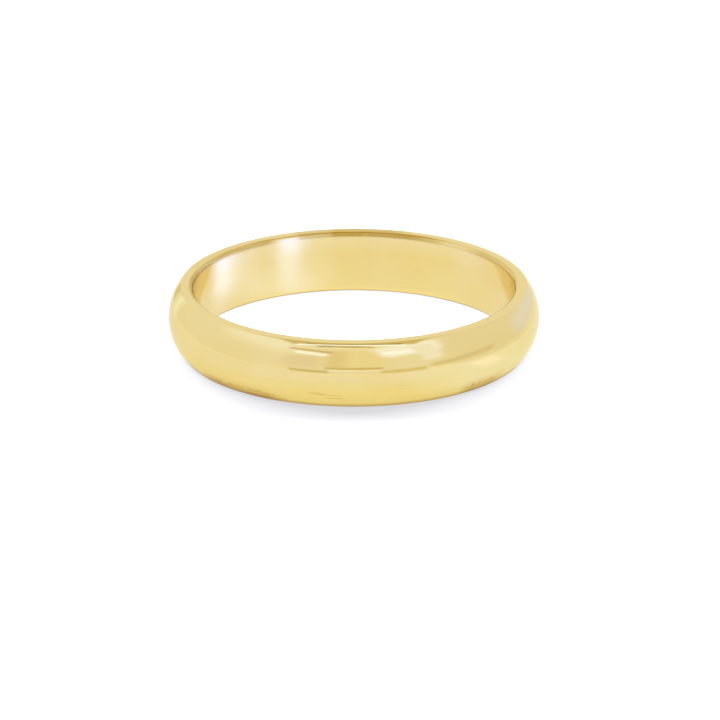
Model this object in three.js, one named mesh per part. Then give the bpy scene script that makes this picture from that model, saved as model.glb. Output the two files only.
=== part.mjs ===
// A plain half-round wedding band in yellow gold, in millimetres, +Z up.
//
// The band is one seamless piece: a straight bore for the finger, softly rounded bore edges,
// a narrow flat edge on each side, and a domed outside that meets the flat edges at a small
// shoulder. Its D-shaped section is turned round the Z axis. The origin is the centre of the
// finger hole, so the band lies on the plane z = -WIDTH / 2.

import * as THREE from "three";

// Driving dimensions.
const BORE_DIAMETER = 19.8; // the finger hole: US ring size 10
const WIDTH = 4.0; // along the finger
const CROWN_THICKNESS = 1.55; // bore wall to the top of the dome
const EDGE_THICKNESS = 0.75; // bore wall to the corner where the dome would meet the flat edge
const BORE_EDGE_RADIUS = 0.22; // rounding between the bore and each flat edge
const SHOULDER_RADIUS = 0.12; // rounding between each flat edge and the dome

// How finely the round stretches are cut.
const TURN_STEPS = 96;
const BORE_EDGE_STEPS = 3;
const SHOULDER_STEPS = 3;
const DOME_STEPS = 12;

const GOLD = { color: 0xecd48c, roughness: 0.12, metalness: 1.0 };

// Points on an arc, both ends included. Angles are in radians from the +X axis.
function arc(centreX, centreY, radius, fromAngle, toAngle, steps) {
  const points = [];
  for (let i = 0; i <= steps; i++) {
    const angle = fromAngle + ((toAngle - fromAngle) * i) / steps;
    const x = centreX + radius * Math.cos(angle);
    const y = centreY + radius * Math.sin(angle);
    points.push(new THREE.Vector2(x, y));
  }
  return points;
}

// The band's section as a closed outline: x is the distance from the axis, y the height.
function bandSection() {
  const bore = BORE_DIAMETER / 2;
  const half = WIDTH / 2;

  // The dome is the arc through both outer corners and the crown.
  const rise = CROWN_THICKNESS - EDGE_THICKNESS;
  const domeRadius = (half ** 2 + rise ** 2) / (2 * rise);
  const domeCentre = bore + CROWN_THICKNESS - domeRadius;

  // Each shoulder touches its flat edge and lies inside the dome's arc, touching that too.
  const shoulderY = half - SHOULDER_RADIUS;
  const reach = domeRadius - SHOULDER_RADIUS;
  const shoulderX = domeCentre + Math.sqrt(reach ** 2 - shoulderY ** 2);
  const domeEnd = Math.asin(shoulderY / reach);

  const roundX = bore + BORE_EDGE_RADIUS;
  const roundY = half - BORE_EDGE_RADIUS;
  const quarter = Math.PI / 2;

  const outline = [
    ...arc(roundX, -roundY, BORE_EDGE_RADIUS, Math.PI, 3 * quarter, BORE_EDGE_STEPS),
    ...arc(shoulderX, -shoulderY, SHOULDER_RADIUS, -quarter, -domeEnd, SHOULDER_STEPS),
    // The dome's own end points are the shoulders' last and first points.
    ...arc(domeCentre, 0, domeRadius, -domeEnd, domeEnd, DOME_STEPS).slice(1, -1),
    ...arc(shoulderX, shoulderY, SHOULDER_RADIUS, domeEnd, quarter, SHOULDER_STEPS),
    ...arc(roundX, roundY, BORE_EDGE_RADIUS, quarter, Math.PI, BORE_EDGE_STEPS),
  ];
  outline.push(outline[0].clone());
  return outline;
}

function makeBand() {
  const geometry = new THREE.LatheGeometry(bandSection(), TURN_STEPS);
  const band = new THREE.Mesh(geometry, new THREE.MeshStandardMaterial(GOLD));
  band.name = "band";
  band.rotation.x = Math.PI / 2; // LatheGeometry turns about +Y, and the band's axis is +Z
  return band;
}

const ring = new THREE.Group();
ring.add(makeBand());

export default ring;
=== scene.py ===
"""A polished half-round wedding band in yellow gold, lying on its edge in a white light tent."""

import math

import bpy
import numpy as np
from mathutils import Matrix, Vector


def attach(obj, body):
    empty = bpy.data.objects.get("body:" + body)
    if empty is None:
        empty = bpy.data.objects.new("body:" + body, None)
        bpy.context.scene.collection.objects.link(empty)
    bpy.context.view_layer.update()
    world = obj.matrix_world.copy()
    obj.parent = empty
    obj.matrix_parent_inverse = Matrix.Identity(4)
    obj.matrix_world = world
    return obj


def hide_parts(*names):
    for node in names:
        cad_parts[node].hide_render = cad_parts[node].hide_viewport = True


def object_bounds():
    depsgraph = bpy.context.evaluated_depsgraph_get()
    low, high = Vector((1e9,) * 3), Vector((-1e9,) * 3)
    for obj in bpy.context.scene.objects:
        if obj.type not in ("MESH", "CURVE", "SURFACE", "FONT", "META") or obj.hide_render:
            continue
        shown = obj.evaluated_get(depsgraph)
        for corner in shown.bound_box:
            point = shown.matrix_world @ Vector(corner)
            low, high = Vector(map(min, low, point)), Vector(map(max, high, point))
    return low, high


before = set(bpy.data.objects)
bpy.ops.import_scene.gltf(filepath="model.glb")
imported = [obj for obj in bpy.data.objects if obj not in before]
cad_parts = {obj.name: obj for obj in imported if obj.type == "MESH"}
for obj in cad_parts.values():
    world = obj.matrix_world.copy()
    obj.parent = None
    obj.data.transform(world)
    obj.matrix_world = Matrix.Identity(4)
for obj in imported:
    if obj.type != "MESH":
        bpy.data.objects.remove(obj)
cad_low, cad_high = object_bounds()

MM = 0.001


# ---------------------------------------------------------------------------------------------
# The band, measured from its CAD node
# ---------------------------------------------------------------------------------------------

SHOULDER_RADIUS = 0.12 * MM  # rounding between each flat edge and the dome
LEVEL = 1e-6  # m, vertices this near the top lie on the upper flat edge
WALL_MARGIN = 0.02 * MM  # faces whose middle is this near the bore's radius are its wall

# How finely each stretch of the section, and then the turn, is cut.
ROUNDING_STEPS = 10
SHOULDER_STEPS = 6
DOME_STEPS = 56
FLAT_STEPS = 4
WALL_STEPS = 12
TURN_STEPS = 720

# The soft waves that a file and a buff left on the dome: their size in mm, how many go round the
# band, where they start in radians, and how far they twist in radians per metre of height.
FINISH_WAVES = (
    (0.0016, 5, 0.7, 0),
    (0.0010, 11, 2.1, 700),
    (0.0006, 23, 4.4, -1100),
    (0.0005, 37, 1.3, 1600),
)
FINISH_MARGIN = 0.3 * MM  # the waves come in over this distance, outwards from the flat edge


def measure_band():
    """The section's dimensions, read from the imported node's own vertices, in metres."""
    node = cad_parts["band"]
    co = np.array([v.co for v in node.data.vertices])
    radial = np.hypot(co[:, 0], co[:, 1])
    half_width = co[:, 2].max()
    edge = radial[co[:, 2] > half_width - LEVEL]
    return {
        "bore": radial.min(),
        "crown": radial.max(),
        "half": half_width,
        "edge_in": edge.min(),
        "edge_out": edge.max(),
    }


BAND = measure_band()


def arc(cx, cy, radius, start, end, steps):
    """Points along an arc, as (distance from the axis, height), both ends included."""
    angles = np.linspace(start, end, steps + 1)
    return [(cx + radius * math.cos(a), cy + radius * math.sin(a)) for a in angles]


def line(a, b, steps):
    """Points along a straight stretch, without its two ends."""
    return [
        (a[0] + (b[0] - a[0]) * t, a[1] + (b[1] - a[1]) * t)
        for t in (i / steps for i in range(1, steps))
    ]


def band_section():
    """The D-shaped section as a closed outline."""
    bore, crown, half = BAND["bore"], BAND["crown"], BAND["half"]
    rounding = BAND["edge_in"] - bore
    shoulder_x, shoulder_y = BAND["edge_out"], half - SHOULDER_RADIUS
    # The dome's arc passes through the crown and touches both shoulders.
    drop = crown - shoulder_x
    dome_radius = (drop**2 + shoulder_y**2 - SHOULDER_RADIUS**2) / (2 * (drop - SHOULDER_RADIUS))
    dome_centre = crown - dome_radius
    dome_end = math.asin(shoulder_y / (dome_radius - SHOULDER_RADIUS))
    quarter = math.pi / 2

    round_x, round_y = bore + rounding, half - rounding
    low_round = arc(round_x, -round_y, rounding, math.pi, 3 * quarter, ROUNDING_STEPS)
    low_shoulder = arc(
        shoulder_x, -shoulder_y, SHOULDER_RADIUS, -quarter, -dome_end, SHOULDER_STEPS
    )
    dome = arc(dome_centre, 0, dome_radius, -dome_end, dome_end, DOME_STEPS)[1:-1]
    top_shoulder = arc(
        shoulder_x, shoulder_y, SHOULDER_RADIUS, dome_end, quarter, SHOULDER_STEPS
    )
    top_round = arc(round_x, round_y, rounding, quarter, math.pi, ROUNDING_STEPS)

    outline = low_round
    outline += line(low_round[-1], low_shoulder[0], FLAT_STEPS)
    outline += low_shoulder + dome + top_shoulder
    outline += line(top_shoulder[-1], top_round[0], FLAT_STEPS)
    outline += top_round
    outline += line(top_round[-1], low_round[0], WALL_STEPS)
    return np.array(outline)


def hand_finish(radial, height, angle):
    """How far a file and a buff left the dome off a true round, outwards, in metres."""
    waves = sum(
        size * np.sin(count * angle + start + twist * height)
        for size, count, start, twist in FINISH_WAVES
    )
    dome = np.clip((radial - BAND["edge_out"]) / FINISH_MARGIN, 0, 1)
    return waves * MM * dome


def build_band():
    """The band's fine surface: the section turned round Z, with a hand finish on its dome."""
    outline = band_section()
    count = len(outline)
    angle = np.linspace(0, 2 * math.pi, TURN_STEPS, endpoint=False)[:, None]
    radial, height = outline[None, :, 0], outline[None, :, 1]
    radial = radial + hand_finish(radial, height, angle)
    co = np.stack(
        [
            radial * np.cos(angle),
            radial * np.sin(angle),
            np.broadcast_to(height, radial.shape),
        ],
        axis=-1,
    ).reshape(-1, 3)
    faces = []
    for i in range(TURN_STEPS):
        a, b = i * count, ((i + 1) % TURN_STEPS) * count
        for j in range(count):
            k = (j + 1) % count
            faces.append((a + j, b + j, b + k, a + k))
    mesh = bpy.data.meshes.new("gold_band")
    mesh.from_pydata(co.tolist(), [], faces)
    mesh.update()
    mesh.polygons.foreach_set("use_smooth", [True] * len(mesh.polygons))
    piece = bpy.data.objects.new("gold_band", mesh)
    bpy.context.scene.collection.objects.link(piece)
    return piece


def mark_bore(piece):
    """Gives the faces of the bore wall the second material slot."""
    wall = BAND["bore"] + WALL_MARGIN
    for face in piece.data.polygons:
        if math.hypot(face.center.x, face.center.y) < wall:
            face.material_index = 1


# ---------------------------------------------------------------------------------------------
# Polished gold
# ---------------------------------------------------------------------------------------------

# Colours in linear RGB. The warm tones lie in soft clouds over the plain ones.
GOLD = (0.79, 0.655, 0.30)
GOLD_WARM = (0.78, 0.635, 0.27)
# The bore's two tones are a lighter copy of the outside's gold: painted light on the bore wall.
BORE_GOLD = (0.89, 0.73, 0.295)
BORE_GOLD_WARM = (0.88, 0.71, 0.26)
BORE_PAINTED_TOP_LIGHT = (0.925, 0.81, 0.44)  # painted highlight, lighter towards the top of the bore wall
GOLD_GRAZING = (0.92, 0.88, 0.72)  # what the outside reflects at a low angle
BORE_GRAZING = (1.0, 1.0, 1.0)
GOLD_SHADE_AND_WEAR = (0.52, 0.33, 0.045)  # painted dark reflection and shade on the edges, and the tone of the scratches
GOLD_LOW_SHADE = (0.49, 0.31, 0.10)  # painted shade low on the dome

# Roughness from the smoothest polishing line to the roughest.
OUTSIDE_ROUGHNESS = (0.05, 0.08)
BORE_ROUGHNESS = (0.23, 0.26)
OUTSIDE_ANISOTROPY = 0.0
BORE_ANISOTROPY = 1.0  # the bore's lines draw its highlights out upwards
ACROSS_THE_LINES = 0.25  # of a full turn
DULL_ROUGHNESS = 0.10  # how much rougher a painted dark place or a scratch is
BUFFING_DEPTH = 0.004  # mm, the soft waves that a buff leaves
LINE_DEPTH = 0.0002  # mm, the fine polishing lines
SCRATCH_DEPTH = 0.0015  # mm
SCRATCH_TONE = 0.5  # how much of the worn tone a scratch takes

# Streaks that run round the band, as noise per mm: across the section, then along the turn.
FINE_LINES = (9.0, 0.35)
BUFFING = (1.1, 0.30)
HAIRLINES = (14.0, 0.25)
BORE_EDGE_GRAIN = (2.2, 0.45)
LOWER_EDGE_GRAIN = (1.4, 0.4)
# Other noise per mm.
CLOUDS = 0.35
HAIRLINE_PATCHES = 0.45
RAGGED = 3.0

# Ranges for Nodes.spread: from and to, then what they give, which is 0 to 1 if it isn't said.
# Of noise:
CLOUD_RANGE = (0.35, 0.65)
LINE_RANGE = (0.3, 0.7)
HAIRLINE_RANGE = (0.66, 0.74)
HAIRLINE_PATCH_RANGE = (0.52, 0.62)
BORE_EDGE_BREAKS = (0.36, 0.56, 0.72, 1.0)
LOWER_EDGE_BREAKS = (0.34, 0.60, 0.6, 1.0)
RAGGED_RANGE = (0.3, 0.7, -0.15, 0.15)  # gives mm of height
# Of height or radius, in mm:
# Painted highlight on the bore: lighter between these heights.
TOP_LIGHT_HEIGHT = (0.6, 1.8, 0.0, 0.7)
# Painted shade low on the dome: darker towards the bottom, darkest between the next pair.
LOW_SHADE_HEIGHT = (-0.90, -1.50, 0.0, 0.5)
DARKEST_LOW_SHADE_HEIGHT = (-1.28, -1.45)
TOP_HEIGHT = (-0.36, -0.22)  # from the band's top
FOOT_HEIGHT = (0.20, 0.05)  # from its foot
BESIDE_BORE = (-0.10, 0.10)  # from the inner corner of the flat edge
DOME_RADIUS = (-0.3, -0.1)  # from the outer corner of the flat edge

# Places of painted dark reflection and shade, each as (angle, half width, soft margin) in degrees
# round the band and a strength.
# Angle 0 is the far side, +Y, and 90 is +X.
BORE_EDGE_SHADE = (
    (-8, 12, 2, 0.65),
    (-2, 5, 6, 1.0),
    (12, 14, 14, 0.85),
    (-50, 16, 6, 0.7),
    (-92, 12, 12, 1.0),
    (-70, 8, 10, 0.6),
    (66, 12, 14, 0.5),
)
FLAT_EDGE_SHADE = ((-6, 14, 2, 0.35), (4, 10, 8, 0.75), (-60, 12, 6, 0.12))
FOOT_SHADE = 0.35  # painted shade on the lower rounding beside the bore, all round
# Painted shade low on the dome, placed round the turn in the same way.
LOW_DOME_SHADE = (
    (-130, 14, 10, 0.6),
    (-139, 12, 10, 1.0),
    (-90, 8, 10, 0.28),
    (135.5, 5, 6, 1.0),
    (95, 10, 10, 0.21),
)
# How strong each painted shade is everywhere else.
BORE_EDGE_ELSEWHERE = 0.2
FLAT_EDGE_ELSEWHERE = 0.0
LOWER_EDGE_ELSEWHERE = 0.14

# Single scratches: angle, height in mm, half length in degrees and climb in mm per degree.
SCRATCHES = (
    (-172, -1.08, 5.0, 0.0097),
    (-169, -0.98, 3.0, 0.0080),
    (-174, -1.30, 3.5, 0.0030),
    (134, -1.45, 4.0, -0.0060),
)
SCRATCH_WIDTH = (0.015, 0.03)  # mm, half width and soft margin
SCRATCH_TAPER = 0.4  # of its half length


class Nodes:
    """A short way to add and join the nodes of one material."""

    def __init__(self, tree):
        self.tree = tree

    def add(self, kind, **settings):
        node = self.tree.nodes.new(kind)
        for name, value in settings.items():
            setattr(node, name, value)
        return node

    def join(self, a, b):
        self.tree.links.new(a, b)

    def math(self, operation, *values):
        node = self.add("ShaderNodeMath", operation=operation)
        for socket, value in zip(node.inputs, values):
            if isinstance(value, (int, float)):
                socket.default_value = value
            else:
                self.join(value, socket)
        return node.outputs[0]

    def mix(self, factor, a, b):
        """Colour a where factor is 0 and b where it is 1."""
        node = self.add("ShaderNodeMix", data_type="RGBA")
        self.join(factor, node.inputs["Factor"])
        for socket, colour in ((node.inputs["A"], a), (node.inputs["B"], b)):
            if isinstance(colour, tuple):
                socket.default_value = (*colour, 1)
            else:
                self.join(colour, socket)
        return node.outputs["Result"]

    def spread(self, value, low, high, to_low=0.0, to_high=1.0):
        """value, moved from one range to another and held inside it."""
        node = self.add("ShaderNodeMapRange")
        self.join(value, node.inputs["Value"])
        for name, number in (
            ("From Min", low),
            ("From Max", high),
            ("To Min", to_low),
            ("To Max", to_high),
        ):
            node.inputs[name].default_value = number
        return node.outputs["Result"]

    def noise(self, vector, scale, detail=2.0, w=None):
        """Noise from 0 to 1, in three dimensions or, with w, in four."""
        node = self.add("ShaderNodeTexNoise")
        if w is not None:
            node.noise_dimensions = "4D"
            self.join(w, node.inputs["W"])
        self.join(vector, node.inputs["Vector"])
        node.inputs["Scale"].default_value = scale
        node.inputs["Detail"].default_value = detail
        return node.outputs["Fac"]


def distance(n, x, y):
    """How far a point is from the origin in a plane."""
    return n.math("SQRT", n.math("ADD", n.math("MULTIPLY", x, x), n.math("MULTIPLY", y, y)))


def band_coordinates(n):
    """Position in mm, distance from the axis in mm, and the angle round the band in degrees."""
    place = n.add("ShaderNodeTexCoord")
    scale = n.add("ShaderNodeVectorMath", operation="SCALE")
    scale.inputs["Scale"].default_value = 1 / MM
    n.join(place.outputs["Object"], scale.inputs[0])
    mm = scale.outputs[0]
    split = n.add("ShaderNodeSeparateXYZ")
    n.join(mm, split.inputs[0])
    x, y, z = split.outputs
    radial = distance(n, x, y)
    angle = n.math("DEGREES", n.math("ARCTAN2", x, y))
    return {"mm": mm, "x": x, "y": y, "z": z, "r": radial, "angle": angle}


def polish_lines(n, at, across, along):
    """Streaks that run round the band: quick across the section, slow along the turn.

    Radius and height tell the streaks apart, and x and y change them slowly on the way round.
    """
    join = n.add("ShaderNodeCombineXYZ")
    n.join(n.math("MULTIPLY", at["r"], across), join.inputs[0])
    n.join(n.math("MULTIPLY", at["z"], across), join.inputs[1])
    n.join(n.math("MULTIPLY", at["x"], along), join.inputs[2])
    return n.noise(join.outputs[0], 1.0, 3.0, w=n.math("MULTIPLY", at["y"], along))


def near(n, value, centre, half, soft):
    """1 within half of a centre value, falling to 0 over a soft margin."""
    away = n.math("ABSOLUTE", n.math("SUBTRACT", value, centre))
    return n.spread(away, half, half + soft, 1.0, 0.0)


def beside(place, reach):
    """A range that is given as distances from a place."""
    return place + reach[0], place + reach[1]


def on_dome(n, at):
    """1 on the domed outside and 0 on the bore wall and beside it."""
    return n.spread(at["r"], *beside(BAND["edge_out"] / MM, DOME_RADIUS))


def shade_round_turn(n, at, places, elsewhere):
    """How strong a painted shade is round the band's turn, 0 to 1, before it is broken up."""
    worn = elsewhere
    for angle, half, soft, strength in places:
        here = n.math("MULTIPLY", near(n, at["angle"], angle, half, soft), strength)
        worn = n.math("MAXIMUM", here, worn)
    return worn


def bore_edge_shade(n, at):
    """Painted dark reflection as a deeper, duller tone on the roundings beside the bore and on the
    flat edges, and painted shade along the bore's foot, 0 to 1.
    """
    half = BAND["half"] / MM
    on_top = n.spread(at["z"], *beside(half, TOP_HEIGHT))
    beside_bore = n.spread(at["r"], *beside(BAND["edge_in"] / MM, BESIDE_BORE), 1.0, 0.0)
    top_wear = shade_round_turn(n, at, BORE_EDGE_SHADE, BORE_EDGE_ELSEWHERE)
    top_rounding = n.math("MULTIPLY", on_top, top_wear)
    low_rounding = n.spread(at["z"], *beside(-half, FOOT_HEIGHT), 0.0, FOOT_SHADE)
    rounding = n.math("MULTIPLY", n.math("MAXIMUM", top_rounding, low_rounding), beside_bore)
    flat_wear = shade_round_turn(n, at, FLAT_EDGE_SHADE, FLAT_EDGE_ELSEWHERE)
    flat = n.math("MULTIPLY", on_top, flat_wear)
    broken = n.spread(polish_lines(n, at, *BORE_EDGE_GRAIN), *BORE_EDGE_BREAKS)
    return n.math("MULTIPLY", n.math("MAXIMUM", rounding, flat), broken)


def low_dome_shade(n, at):
    """Painted shade low on the dome, darker towards the bottom and broken up in dull patches, 0 to
    1.
    """
    ragged = n.spread(n.noise(at["mm"], RAGGED, detail=3.0), *RAGGED_RANGE)
    most = n.spread(n.math("ADD", at["z"], ragged), *DARKEST_LOW_SHADE_HEIGHT)
    low = n.math("MAXIMUM", most, n.spread(at["z"], *LOW_SHADE_HEIGHT))
    broken = n.spread(polish_lines(n, at, *LOWER_EDGE_GRAIN), *LOWER_EDGE_BREAKS)
    worn = shade_round_turn(n, at, LOW_DOME_SHADE, LOWER_EDGE_ELSEWHERE)
    worn = n.math("MULTIPLY", broken, worn)
    return n.math("MULTIPLY", n.math("MULTIPLY", low, on_dome(n, at)), worn)


def scratches(n, at):
    """Sparse hairlines all round the band and a few single scratches on its dome, 0 to 1."""
    lines = n.spread(polish_lines(n, at, *HAIRLINES), *HAIRLINE_RANGE)
    places = n.spread(n.noise(at["mm"], HAIRLINE_PATCHES, detail=1.0), *HAIRLINE_PATCH_RANGE)
    marks = n.math("MULTIPLY", lines, places)
    dome = on_dome(n, at)
    for angle, height, half, climb in SCRATCHES:
        along = n.math("SUBTRACT", at["angle"], angle)
        level = n.math("SUBTRACT", at["z"], n.math("MULTIPLY", along, climb))
        thin = near(n, level, height, *SCRATCH_WIDTH)
        short = near(n, along, 0.0, half * (1 - SCRATCH_TAPER), half * SCRATCH_TAPER)
        scratch = n.math("MULTIPLY", n.math("MULTIPLY", thin, short), dome)
        marks = n.math("MAXIMUM", marks, scratch)
    return marks


def gold(name, tones, painted_top_light, grazing, roughness, anisotropy):
    """Polished gold with fine polishing lines, scratches, painted dark reflection and shade on its
    edges and low on its dome, a painted highlight on the bore's top, and an uneven colour.

    tones are the plain and the warm one, and the third tone is painted towards the band's top, a
    painted highlight on the bore.
    """
    mat = bpy.data.materials.new(name)
    mat.use_nodes = True
    tree = mat.node_tree
    tree.nodes.clear()
    n = Nodes(tree)
    out = n.add("ShaderNodeOutputMaterial")
    shader = n.add("ShaderNodeBsdfPrincipled")
    n.join(shader.outputs[0], out.inputs[0])
    shader.inputs["Metallic"].default_value = 1.0
    shader.inputs["Specular Tint"].default_value = (*grazing, 1)

    at = band_coordinates(n)
    fine_lines = polish_lines(n, at, *FINE_LINES)
    buffing = polish_lines(n, at, *BUFFING)
    marks = scratches(n, at)
    # painted dark reflection and shade beside the bore
    wear = bore_edge_shade(n, at)
    low_shade = low_dome_shade(n, at)

    colour = n.mix(n.spread(n.noise(at["mm"], CLOUDS), *CLOUD_RANGE), *tones)
    # painted highlight: lighter towards the top
    colour = n.mix(n.spread(at["z"], *TOP_LIGHT_HEIGHT), colour, painted_top_light)
    # painted shade low on the dome
    colour = n.mix(low_shade, colour, GOLD_LOW_SHADE)
    # darker tone: painted dark reflection and shade on the edges, and the scratches
    worn = n.math("MAXIMUM", wear, n.math("MULTIPLY", marks, SCRATCH_TONE))
    colour = n.mix(worn, colour, GOLD_SHADE_AND_WEAR)
    n.join(colour, shader.inputs["Base Color"])

    polish = n.spread(fine_lines, *LINE_RANGE, *roughness)
    touched = n.math("MAXIMUM", n.math("MAXIMUM", wear, low_shade), marks)
    dull = n.math("MULTIPLY", touched, DULL_ROUGHNESS)
    n.join(n.math("ADD", polish, dull), shader.inputs["Roughness"])

    waves = n.math("MULTIPLY", buffing, BUFFING_DEPTH)
    lines = n.math("MULTIPLY", fine_lines, LINE_DEPTH)
    cuts = n.math("MULTIPLY", marks, SCRATCH_DEPTH)
    height = n.math("SUBTRACT", n.math("ADD", waves, lines), cuts)
    bump = n.add("ShaderNodeBump")
    bump.inputs["Strength"].default_value = 1.0
    bump.inputs["Distance"].default_value = MM
    n.join(height, bump.inputs["Height"])
    n.join(bump.outputs["Normal"], shader.inputs["Normal"])

    if anisotropy:
        shader.inputs["Anisotropic"].default_value = anisotropy
        shader.inputs["Anisotropic Rotation"].default_value = ACROSS_THE_LINES
        tangent = n.add("ShaderNodeTangent", direction_type="RADIAL", axis="Z")
        n.join(tangent.outputs[0], shader.inputs["Tangent"])
    return mat


band = build_band()
mark_bore(band)
outside = gold(
    "gold_outside",
    tones=(GOLD, GOLD_WARM),
    painted_top_light=GOLD,
    grazing=GOLD_GRAZING,
    roughness=OUTSIDE_ROUGHNESS,
    anisotropy=OUTSIDE_ANISOTROPY,
)
inside = gold(
    "gold_bore",
    tones=(BORE_GOLD, BORE_GOLD_WARM),
    painted_top_light=BORE_PAINTED_TOP_LIGHT,
    grazing=BORE_GRAZING,
    roughness=BORE_ROUGHNESS,
    anisotropy=BORE_ANISOTROPY,
)
band.data.materials.append(outside)
band.data.materials.append(inside)
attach(band, "root")
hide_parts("band")


# ---------------------------------------------------------------------------------------------
# Light tent: glowing white table, white cloth walls and soft lamps
# ---------------------------------------------------------------------------------------------

WHITE = (1.0, 1.0, 1.0)

TABLE_SIZE = 6.0  # m
TABLE_WHITE = 0.15  # how much of the lamps' light the table throws back
TABLE_STRENGTH = 0.62
TABLE_GLOW = (0.96, 0.97, 1.03)  # near the band, where the lamps add to it
FAR_GLOW = (1.70, 1.70, 1.70)  # beyond the lamps' reach
LAMP_REACH = (50, 250)  # mm from the band's axis

MIRRORED_SIZE = 0.040  # m
MIRRORED_WHITE = 0.25
# The table's light as the gold mirrors it, in linear RGB, all painted on as glow: a painted
# contact shadow in the crevice under the band, and painted light where the gold's own light tints
# it, farther out, where the right wall lights it and in the hole.
CREVICE_SHADE = (0.42, 0.31, 0.12)
GOLD_TINTED = (0.91, 0.86, 0.58)
OPEN_TABLE = (0.90, 0.89, 0.94)
RIGHT_TABLE = (0.92, 0.96, 1.02)
HOLE_TABLE = (0.82, 0.81, 0.91)
HOLE_EDGE = (0.98, 0.97, 0.98)  # painted light at the far side of the hole
CAUSTIC = (0.92, 1.00, 1.60)  # a painted caustic: the bright curve of light that the bore throws on the table
GLINT = (1.05, 1.08, 1.35)  # a painted glint: a bright streak beside the band, at the right front
# Where these lie: angles in degrees as a centre, a half width and a soft margin, and distances
# from the band's axis in mm, as a range or again as a centre, a half width and a soft margin.
TINT_DISTANCE = (9.1, 12.8)
TINT_SLANT = 0.2  # how much farther the tint reaches in front of the band than behind it
RIGHT_ANGLE = (95, 45, 20)
RIGHT_DISTANCE = (10.8, 11.6)
GLINT_ANGLE = (122, 4, 5)
GLINT_DISTANCE = (16.2, 1.8, 1.6)
HOLE_DISTANCE = (10.1, 10.6, 1.0, 0.0)
HOLE_EDGE_ANGLE = (0, 34, 10)
HOLE_EDGE_DISTANCE = (9.2, 9.7)
CREVICE_DISTANCE = (10.38, 0.28, 0.25)
CAUSTIC_PLACES = ((-3.6, 6.8), (-2.2, 7.4))  # mm
CAUSTIC_DISTANCE = (0.8, 1.8, 1.0, 0.0)  # from each place


def white_table(name, size, white):
    """A white table top and the shader that gives it its light."""
    mesh = bpy.data.meshes.new(name)
    s, z = size / 2, cad_low.z
    mesh.from_pydata([(-s, -s, z), (s, -s, z), (s, s, z), (-s, s, z)], [], [(0, 1, 2, 3)])
    table = bpy.data.objects.new(name, mesh)
    bpy.context.scene.collection.objects.link(table)
    mat = bpy.data.materials.new(name)
    mat.use_nodes = True
    shader = mat.node_tree.nodes["Principled BSDF"]
    shader.inputs["Base Color"].default_value = (white, white, white, 1)
    shader.inputs["Roughness"].default_value = 1.0
    shader.inputs["Specular IOR Level"].default_value = 0.0
    mesh.materials.append(mat)
    return table, shader


def light_table():
    """The table twice: all of it as it looks, and the part near the band as the gold mirrors it.

    Beyond that part the gold mirrors the tent's floor instead. The mirrored part is no lamp, yet
    it glows with painted light and shade.
    """
    seen, shader = white_table("table", TABLE_SIZE, TABLE_WHITE)
    n = Nodes(seen.active_material.node_tree)
    far = n.spread(band_coordinates(n)["r"], *LAMP_REACH)
    n.join(n.mix(far, TABLE_GLOW, FAR_GLOW), shader.inputs["Emission Color"])
    shader.inputs["Emission Strength"].default_value = TABLE_STRENGTH
    seen.visible_glossy = False

    mirrored, shader = white_table("table_in_the_gold", MIRRORED_SIZE, MIRRORED_WHITE)
    n = Nodes(mirrored.active_material.node_tree)
    at = band_coordinates(n)
    reach = n.math("ADD", at["r"], n.math("MULTIPLY", at["y"], TINT_SLANT))
    light = n.mix(n.spread(reach, *TINT_DISTANCE), GOLD_TINTED, OPEN_TABLE)
    right = near(n, at["angle"], *RIGHT_ANGLE)
    beyond = n.spread(at["r"], *RIGHT_DISTANCE)
    light = n.mix(n.math("MULTIPLY", right, beyond), light, RIGHT_TABLE)
    # painted glint
    ray = near(n, at["angle"], *GLINT_ANGLE)
    stretch = near(n, at["r"], *GLINT_DISTANCE)
    light = n.mix(n.math("MULTIPLY", ray, stretch), light, GLINT)

    hole = HOLE_TABLE
    # painted caustics in the hole
    for x, y in CAUSTIC_PLACES:
        away = distance(n, n.math("SUBTRACT", at["x"], x), n.math("SUBTRACT", at["y"], y))
        hole = n.mix(n.spread(away, *CAUSTIC_DISTANCE), hole, CAUSTIC)
    far_side = near(n, at["angle"], *HOLE_EDGE_ANGLE)
    rim = n.spread(at["r"], *HOLE_EDGE_DISTANCE)
    hole = n.mix(n.math("MULTIPLY", far_side, rim), hole, HOLE_EDGE)

    light = n.mix(n.spread(at["r"], *HOLE_DISTANCE), light, hole)
    # painted contact shadow in the crevice under the band
    light = n.mix(near(n, at["r"], *CREVICE_DISTANCE), light, CREVICE_SHADE)
    n.join(light, shader.inputs["Emission Color"])
    shader.inputs["Emission Strength"].default_value = 1.0
    mirrored.visible_camera = False
    mirrored.visible_diffuse = False
    mirrored.visible_shadow = False

    lit = bpy.data.collections.new("lit_by_table_lamps")
    lit.objects.link(seen)
    return lit


def direction(azimuth, elevation):
    """Azimuth 0 is towards the camera's side, -Y, and 90 is +X; both in degrees."""
    a, e = math.radians(azimuth), math.radians(elevation)
    return Vector((math.sin(a) * math.cos(e), -math.cos(a) * math.cos(e), math.sin(e)))


def lamp(name, place, toward, wide, tall, radiance, colour, shape="RECTANGLE"):
    """An area lamp at a place, facing along a direction; sizes in metres. Only its light shows."""
    light = bpy.data.lights.new(name, "AREA")
    light.shape = shape
    light.size, light.size_y = wide, tall
    light.color = colour
    light.energy = radiance * math.pi * wide * tall
    ob = bpy.data.objects.new(name, light)
    ob.location = place
    ob.rotation_euler = (-toward).to_track_quat("Z", "Y").to_euler()
    ob.visible_camera = False
    bpy.context.scene.collection.objects.link(ob)
    return ob


# The lamps over the table, one on each side of the band.
SIDE_AZIMUTH = 128
SIDE_ELEVATION = 35
SIDE_DISTANCE = 0.6  # m
SIDE_SIZE = 0.45  # m
SIDE_LIGHT = 22.0

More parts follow.
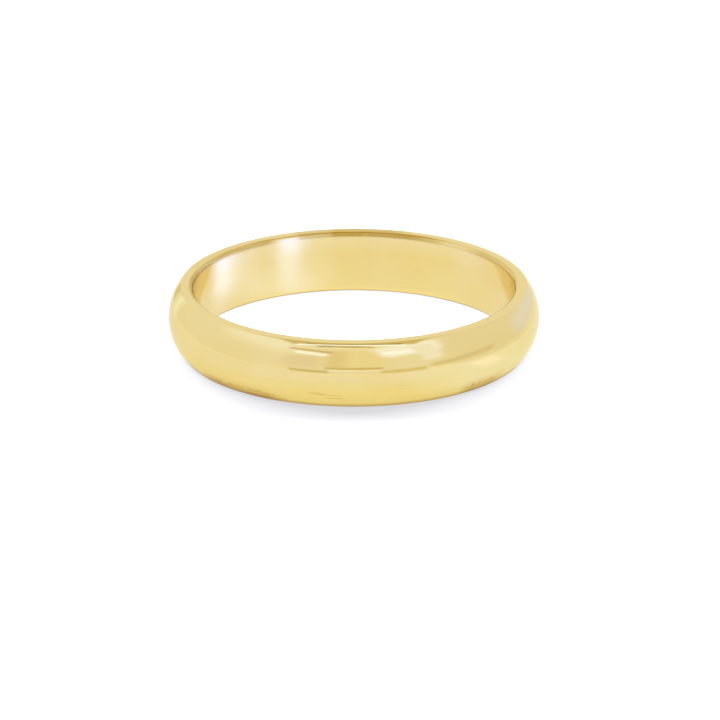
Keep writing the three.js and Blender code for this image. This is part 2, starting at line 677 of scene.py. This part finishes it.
# The round lamp that fills the hole, as parts of the bore's radius and of half the band's width.
FILL_WIDTH = 1.94
FILL_HEIGHT = 0.95
FILL_LIGHT = 5.2

# The upright lamps in the hole: place in mm, the azimuth they face, width, lowest and highest
# point in mm, and light.
HOLE_LAMPS = {
    "hole_narrow": (1.08, 4.25, -133.3, 0.68, -1.9, 5.0, 0.52),
    "hole_wide": (-3.17, 7.36, -75.5, 0.98, -1.9, 2.2, 0.54),
}
HOLE_COOL = (0.115, 0.23, 1.0)
HOLE_SPREAD = 70  # degrees


def table_lamps(lit):
    """Two lamps behind the band that light only the table, and one that fills its hole.

    The front of the band is in both lamps' shadow and its sides are in one's.
    """
    lamps = []
    for side, azimuth in (("left", -SIDE_AZIMUTH), ("right", SIDE_AZIMUTH)):
        toward = direction(azimuth, SIDE_ELEVATION)
        place = toward * SIDE_DISTANCE
        name = "table_" + side
        lamps.append(lamp(name, place, -toward, SIDE_SIZE, SIDE_SIZE, SIDE_LIGHT, WHITE))
    across = FILL_WIDTH * BAND["bore"]
    top = Vector((0, 0, FILL_HEIGHT * BAND["half"]))
    down = direction(0, -90)
    lamps.append(lamp("hole_fill", top, down, across, across, FILL_LIGHT, WHITE, "DISK"))
    for ob in lamps:
        ob.visible_glossy = False
        ob.light_linking.receiver_collection = lit


def hole_lamp(name, x, y, azimuth, wide, low, high, radiance):
    """A small cool lamp in the finger hole, for an upright highlight on the bore wall; in mm."""
    place = Vector((x, y, (low + high) / 2)) * MM
    tall = (high - low) * MM
    ob = lamp(name, place, direction(azimuth, 0), wide * MM, tall, radiance, HOLE_COOL)
    ob.data.spread = math.radians(HOLE_SPREAD)
    ob.visible_diffuse = False


# What the cloth walls show: (azimuth, elevation, wide, tall, soft edge) in degrees, then the
# light in linear RGB. Each patch lies over the ones before it.
TENT_WHITE = (1.05, 1.03, 1.04)
TENT = {
    "floor": ((0, -90, 168, 168, 6), (1.11, 1.09, 1.10)),
    "right_wall": ((95, 20, 70, 60, 15), (1.00, 0.97, 0.95)),
    "front_panel": ((0, 26, 34, 42, 3), (1.06, 1.01, 0.88)),
    "front_panel_left": ((-11, 26, 11, 40, 8), (0.97, 0.88, 0.73)),
    "left_blush": ((-33, 17, 20, 26, 10), (0.99, 0.92, 0.94)),
    "left_top_glow": ((-72, 44, 46, 24, 18), (1.13, 1.19, 1.42)),
    "right_top_glow": ((40, 42, 36, 24, 7), (1.17, 1.28, 1.85)),
    "right_column": ((50, 30, 13, 34, 5), (1.13, 1.18, 1.55)),
    "left_box": ((-29, 36.5, 18, 6, 3), (1.28, 1.43, 2.15)),
    "right_box": ((30, 38.5, 18, 7, 4), (1.28, 1.45, 2.40)),
    "left_seam": ((-31, 43.5, 24, 4, 2), (0.78, 0.66, 0.52)),
    "ceiling": ((0, 90, 64, 54, 4), (0.80, 0.68, 0.42)),
    "ceiling_gap": ((0, 64.8, 44, 3.2, 1.2), (0.48, 0.40, 0.22)),
    "ceiling_strip": ((-2, 61.2, 52, 2.8, 1.2), (1.38, 1.55, 2.5)),
    "ceiling_seam": ((-8, 57.3, 27, 3.4, 1.5), (0.60, 0.52, 0.31)),
    "seam_glow": ((2, 53, 24, 3, 2), (1.17, 1.13, 1.00)),
    "front_gap": ((0, 5.5, 34, 5, 2), (0.80, 0.71, 0.42)),
    "front_sill": ((1, 0.5, 32, 3.4, 1.5), (1.17, 1.19, 1.38)),
    "left_gap": ((-27, -3.5, 24, 5.5, 3), (0.78, 0.71, 0.49)),
    "right_gap": ((30, -4, 28, 7, 3), (0.89, 0.79, 0.53)),
    "far_right_gap": ((70, 1, 46, 7, 6), (0.88, 0.80, 0.64)),
    "back_right_glow": ((139, 6, 46, 20, 14), (0.99, 1.03, 1.50)),
    "back_left_seam": ((-158, 4, 8, 30, 4), (0.90, 0.81, 0.50)),
    "back_left_strip": ((-145, 3, 8, 22, 5), (1.14, 1.24, 1.35)),
}


def tent():
    """White surroundings built from soft-edged patches of slightly different light."""
    world = bpy.data.worlds.new("tent")
    bpy.context.scene.world = world
    world.use_nodes = True
    world.node_tree.nodes.clear()
    n = Nodes(world.node_tree)
    out = n.add("ShaderNodeOutputWorld")
    background = n.add("ShaderNodeBackground")
    n.join(background.outputs[0], out.inputs[0])
    seen_from_band = n.add("ShaderNodeTexCoord").outputs["Generated"]

    def along(axis):
        node = n.add("ShaderNodeVectorMath", operation="DOT_PRODUCT")
        n.join(seen_from_band, node.inputs[0])
        node.inputs[1].default_value = axis
        return node.outputs["Value"]

    def patch(azimuth, elevation, wide, tall, edge):
        """1 inside a soft-edged rectangle of directions and 0 outside."""
        ahead = direction(azimuth, elevation)
        side = direction(azimuth + 90, 0)
        depth = n.math("MAXIMUM", along(ahead), 0.001)
        soft = math.tan(math.radians(edge / 2))
        inside = []
        for axis, size in ((side, wide), (side.cross(ahead), tall)):
            offset = n.math("ABSOLUTE", n.math("DIVIDE", along(axis), depth))
            half = math.tan(math.radians(size / 2))
            inside.append(n.spread(offset, half - soft, half + soft, 1.0, 0.0))
        return n.math("MULTIPLY", *inside)

    light = TENT_WHITE
    for rectangle, colour in TENT.values():
        light = n.mix(patch(*rectangle), light, colour)
    camera_ray = n.add("ShaderNodeLightPath").outputs["Is Camera Ray"]
    n.join(n.mix(camera_ray, light, WHITE), background.inputs["Color"])


tent()
table_lamps(light_table())
for lamp_name, placing in HOLE_LAMPS.items():
    hole_lamp(lamp_name, *placing)


# ---------------------------------------------------------------------------------------------
# Camera
# ---------------------------------------------------------------------------------------------

CAMERA_DISTANCE = 211.4 * MM
CAMERA_ELEVATION = 19.81
LENS_MM = 171.2
SENSOR_MM = 36.0
AIM_RIGHT = 0.3735 * MM  # the camera looks this far to the right of the band's centre
AIM_BELOW = 2.8525 * MM  # and this far below it
NEAREST, FARTHEST = 0.01, 20.0  # m, what the camera sees


def aim_camera():
    """A camera at the photograph's angle, which frames the band a little off the centre."""
    data = bpy.data.cameras.new("camera")
    data.lens, data.sensor_width = LENS_MM, SENSOR_MM
    data.clip_start, data.clip_end = NEAREST, FARTHEST
    camera = bpy.data.objects.new("camera", data)
    bpy.context.scene.collection.objects.link(camera)
    centre = (cad_low + cad_high) / 2
    back = direction(0, CAMERA_ELEVATION)
    camera.location = centre + back * CAMERA_DISTANCE
    square_on = (-back).to_track_quat("-Z", "Y")  # as if it looked at the band's centre
    aim = centre + square_on @ Vector((AIM_RIGHT, -AIM_BELOW, 0))
    camera.rotation_euler = (aim - camera.location).to_track_quat("-Z", "Y").to_euler()
    bpy.context.scene.camera = camera


aim_camera()
bpy.context.scene.view_settings.view_transform = "Standard"
